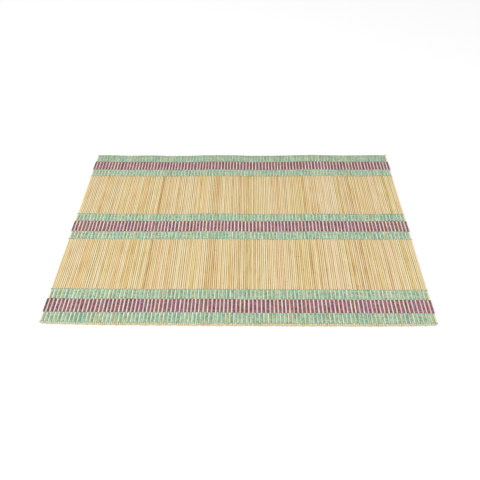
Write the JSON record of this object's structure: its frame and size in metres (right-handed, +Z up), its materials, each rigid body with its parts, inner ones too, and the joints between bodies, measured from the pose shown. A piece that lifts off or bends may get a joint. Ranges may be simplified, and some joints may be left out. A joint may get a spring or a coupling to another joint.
{
  "type": "bamboo placemat",
  "caption": "Flat woven table mat of bamboo sticks laid side by side and bound by three bands of green and purple cotton thread.",
  "frame": {"origin": "middle of the underside, on the plane of the table that the mat lies on", "axes": "+X along the mat's length, across the sticks; +Y along the sticks, to the far edge; +Z up"},
  "size_m": [0.45, 0.3, 0.003],
  "materials": {
    "bamboo": "satin natural bamboo",
    "green_thread": "matte dyed cotton",
    "purple_thread": "matte dyed cotton"
  },
  "bodies": {
    "root": {"sticks": "bamboo", "far_green_a": "green_thread", "far_purple": "purple_thread", "far_green_b": "green_thread", "middle_green_a": "green_thread", "middle_purple": "purple_thread", "middle_green_b": "green_thread", "near_green_a": "green_thread", "near_purple": "purple_thread", "near_green_b": "green_thread"}
  },
  "joints": []
}
